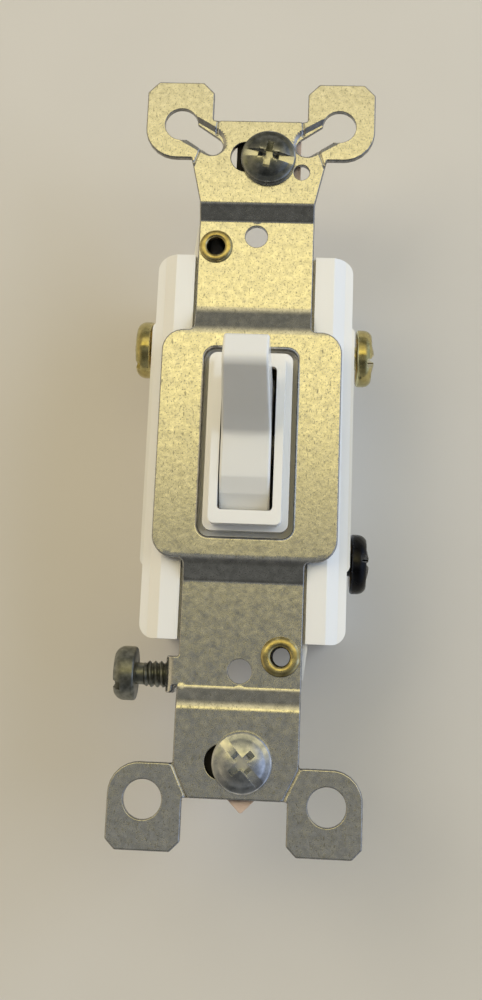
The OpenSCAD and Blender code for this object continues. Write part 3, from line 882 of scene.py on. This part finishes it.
def add_shells(mesh, shells, turn, sharp):
    """Adds closed shapes, drawn in millimetres and then turned into place, to a mesh."""
    build = bmesh.new()
    build.from_mesh(mesh)
    for points, faces in shells:
        verts = [build.verts.new(turn @ (Vector(p) * MM)) for p in points]
        for face in faces:
            build.faces.new([verts[v] for v in face])
    build.to_mesh(mesh)
    build.free()
    tidy_mesh(mesh, sharp)


# ---- Eyelets, washers and screws ----

# Quarter of the rolled lip, from its crown down: share of the half-width and of the height
ROLL = [(math.sin(t), math.cos(t) ** 0.8) for t in np.radians(np.linspace(0, 84, 8))]
WASHER_HALF = 4.62
WASHER_CORNER = 0.35
WASHER_BORE = 1.8
WASHER_T = 0.79
EYELET_BORE = 1.25
EYELET_BARREL = 1.75


def middle(node):
    """Middle of a CAD node and half its size, in millimetres."""
    low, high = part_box(node)
    return (low + high) / (2 * MM), (high - low) / (2 * MM)


def make_eyelet(name, node):
    """Brass tube with its front end rolled over and its back end clinched."""
    centre, half = middle(node)
    bore = EYELET_BORE
    outer = half.x - 0.02
    low = EYELET_END
    top = centre.z + half.z - 0.02
    crown = bore + 0.4 * (outer - bore)
    profile = [(EYELET_BARREL, low + 0.02), (EYELET_BARREL, 0.02), (outer - 0.12, 0.02)]
    profile += arc((outer - 0.14, 0.16), 0.14, -80, 30, 5)
    profile += [(crown + (outer - 0.02 - crown) * c, 0.16 + (top - 0.16) * h) for c, h in ROLL[::-1]]
    profile += [(crown - (crown - bore) * c, 0.16 + (top - 0.16) * h) for c, h in ROLL[1:]]
    profile += [(bore, -0.6), (bore, low + 0.2)]
    profile += arc((bore + 0.35, low - 0.1), 0.35, 180, 270, 5)
    profile += arc((outer - 0.3, low - 0.2), 0.26, 270, 420, 6)
    points, faces = turned(profile[::-1])
    points = [(x + centre.x, y + centre.y, z) for x, y, z in points]
    stand_for(add_piece(name, points, faces, sharp=60), node, "chassis")


def make_retainer(name, node, body, turn):
    """Square fibre washer, gripping the screw's thread."""
    centre = middle(node)[0]
    corners = ((-1, -1), (1, -1), (1, 1), (-1, 1))
    edge = rounded([(x * WASHER_HALF, y * WASHER_HALF, WASHER_CORNER) for x, y in corners], 0.7)
    lines = [edge, ring((0, 0), WASHER_BORE, 28)]
    inner = np.array([(float(x), float(y)) for x in range(-4, 5) for y in range(-4, 5)])
    inner = inner[inside(inner, lines)]
    inner = inner[clear_of(inner, lines, 0.4)]
    cos, sin = math.cos(math.radians(turn)), math.sin(math.radians(turn))

    def lay(x, y, depth):
        height = centre.z + WASHER_T / 2 - depth
        return np.stack([centre.x + cos * x - sin * y, centre.y + sin * x + cos * y, height], 1)

    stand_for(add_piece(name, *sheet(lines, inner, WASHER_T, lay, [0.1, 0.1], 0.1)), node, body)


def head_profile(radius, height, dome, rim, neck):
    """Profile of a domed head standing on its underside at height 0."""
    sag = dome - math.sqrt(dome * dome - (radius - rim) ** 2)
    shoulder = height - sag - rim * 0.75
    under = min(rim * 0.5, 0.4)
    profile = [(0, 0.03), (neck, 0.03), (neck + 0.1, 0.0)]
    profile += arc((radius - under, under), under, -90, 0, 5)
    profile += arc((radius - rim, shoulder), rim, 0, 62, 9)
    for share in np.linspace(0.93, 0, 12):
        reach = (radius - rim) * share
        profile.append((reach, height - (dome - math.sqrt(dome * dome - reach * reach))))
    return profile


def box_solid(low, high, taper):
    """Box as points and faces, narrower along X at its bottom by the taper on each side."""
    x0, y0, z0 = low
    x1, y1, z1 = high
    points = [
        (x0 + taper, y0, z0), (x1 - taper, y0, z0), (x1 - taper, y1, z0), (x0 + taper, y1, z0),
        (x0, y0, z1), (x1, y0, z1), (x1, y1, z1), (x0, y1, z1),
    ]
    faces = [(3, 2, 1, 0), (4, 5, 6, 7), (0, 1, 5, 4), (1, 2, 6, 5), (2, 3, 7, 6), (3, 0, 4, 7)]
    return points, faces


def turned_about_z(points, degrees):
    """The points turned about the Z axis."""
    cos, sin = math.cos(math.radians(degrees)), math.sin(math.radians(degrees))
    return [(cos * x - sin * y, sin * x + cos * y, z) for x, y, z in points]


def carve(solid, cutters):
    """Cuts closed shapes out of a piece and removes them from the scene."""
    for cutter in cutters:
        cut = solid.modifiers.new("cut", "BOOLEAN")
        cut.object = cutter
        cut.operation = "DIFFERENCE"
        cut.solver = "EXACT"
    bpy.context.view_layer.update()
    ready = solid.evaluated_get(bpy.context.evaluated_depsgraph_get())
    mesh = bpy.data.meshes.new_from_object(ready)
    solid.modifiers.clear()
    solid.data = mesh
    for cutter in cutters:
        bpy.data.objects.remove(cutter)


def make_screw(node, axis, head, shank, drive):
    """Domed screw with a slot and a cross recess; axis points out of its head.

    head is (radius, height, dome radius, rim radius), shank (radius, neck radius, neck length, length,
    thread depth), drive (slot turn, slot width, slot depth, cross width, cross reach, cross depth).
    """
    radius, height, dome, rim = head
    thread_r, neck_r, neck, length, depth = shank
    slot_turn, slot_w, slot_depth, cross_w, cross_reach, cross_depth = drive
    solid = add_piece(node + "_turned", *turned(head_profile(radius, height, dome, rim, neck_r), 72))
    low = (-radius * 1.2, -slot_w / 2, height - slot_depth)
    slot = box_solid(low, (radius * 1.2, slot_w / 2, height + 2), 0)
    low = (-cross_reach, -cross_w / 2, height - cross_depth)
    arm = box_solid(low, (cross_reach, cross_w / 2, height), cross_reach * 0.55)
    cutters = []
    for (points, faces), turn in ((slot, slot_turn), (arm, slot_turn), (arm, slot_turn + 90)):
        cutters.append(add_piece("cutter", turned_about_z(points, turn), faces))
    carve(solid, cutters)
    centre, half = middle(node)
    axis = Vector(axis)
    base = centre + axis * (abs(half.dot(axis)) - height - 0.01)
    turn = Matrix.Identity(4) if axis.z else axis.to_track_quat("Z", "Y").to_matrix().to_4x4()
    stand = Matrix.Translation(base * MM) @ turn
    solid.data.transform(stand)
    core = [(0.0, 0.3), (neck_r, 0.3), (neck_r, -neck - 0.2), (0.0, -neck - 0.2)]
    shells = [turned(core, 40), thread(thread_r, depth, -neck, -length)]
    add_shells(solid.data, shells, stand, 40)
    bevel = solid.modifiers.new("worn_edges", "BEVEL")
    bevel.width = 0.07 * MM
    bevel.segments = 2
    bevel.limit_method = "ANGLE"
    bevel.angle_limit = math.radians(50)
    stand_for(solid, node, node)


# Heads, shanks and cross recesses of the screws, in the order that make_screw gives
BOX_HEAD = (3.93, 2.18, 6.2, 0.5)
BOX_SHANK = (1.745, 1.44, 2.1, 18.98, 0.3)
BINDER_HEAD = (4.13, 2.73, 6.0, 1.4)
BINDER_SHANK = (2.075, 1.68, 0.6, 5.88, 0.32)
PAN_HEAD = (3.58, 2.98, 7.0, 1.5)
PAN_SHANK = (1.745, 1.45, 0.9, 7.58, 0.34)
CROSS = (0.95, 2.15, 1.9)

finish_cad_nodes()
make_strap()
make_handle()
make_eyelet("eyelet_upper_turned", "eyelet_upper")
make_eyelet("eyelet_lower_turned", "eyelet_lower")
make_retainer("retainer_upper_fibre", "screw_retainer_upper", "retainer_upper", 0)
make_retainer("retainer_lower_fibre", "screw_retainer_lower", "retainer_lower", 45)
make_screw("box_screw_upper", (0, 0, 1), BOX_HEAD, BOX_SHANK, (-10, 1.15, 1.0, *CROSS))
make_screw("box_screw_lower", (0, 0, 1), BOX_HEAD, BOX_SHANK, (-47, 1.15, 1.0, *CROSS))
make_screw("common_screw", (1, 0, 0), BINDER_HEAD, BINDER_SHANK, (80, 1.2, 1.1, *CROSS))
make_screw("traveller_screw_left", (-1, 0, 0), BINDER_HEAD, BINDER_SHANK, (40, 1.2, 1.1, *CROSS))
make_screw("traveller_screw_right", (1, 0, 0), BINDER_HEAD, BINDER_SHANK, (112, 1.2, 1.1, *CROSS))
make_screw("ground_screw", (-1, 0, 0), PAN_HEAD, PAN_SHANK, (60, 1.1, 1.1, *CROSS))

make_camera()
make_lights()
studio_world()
make_floor()
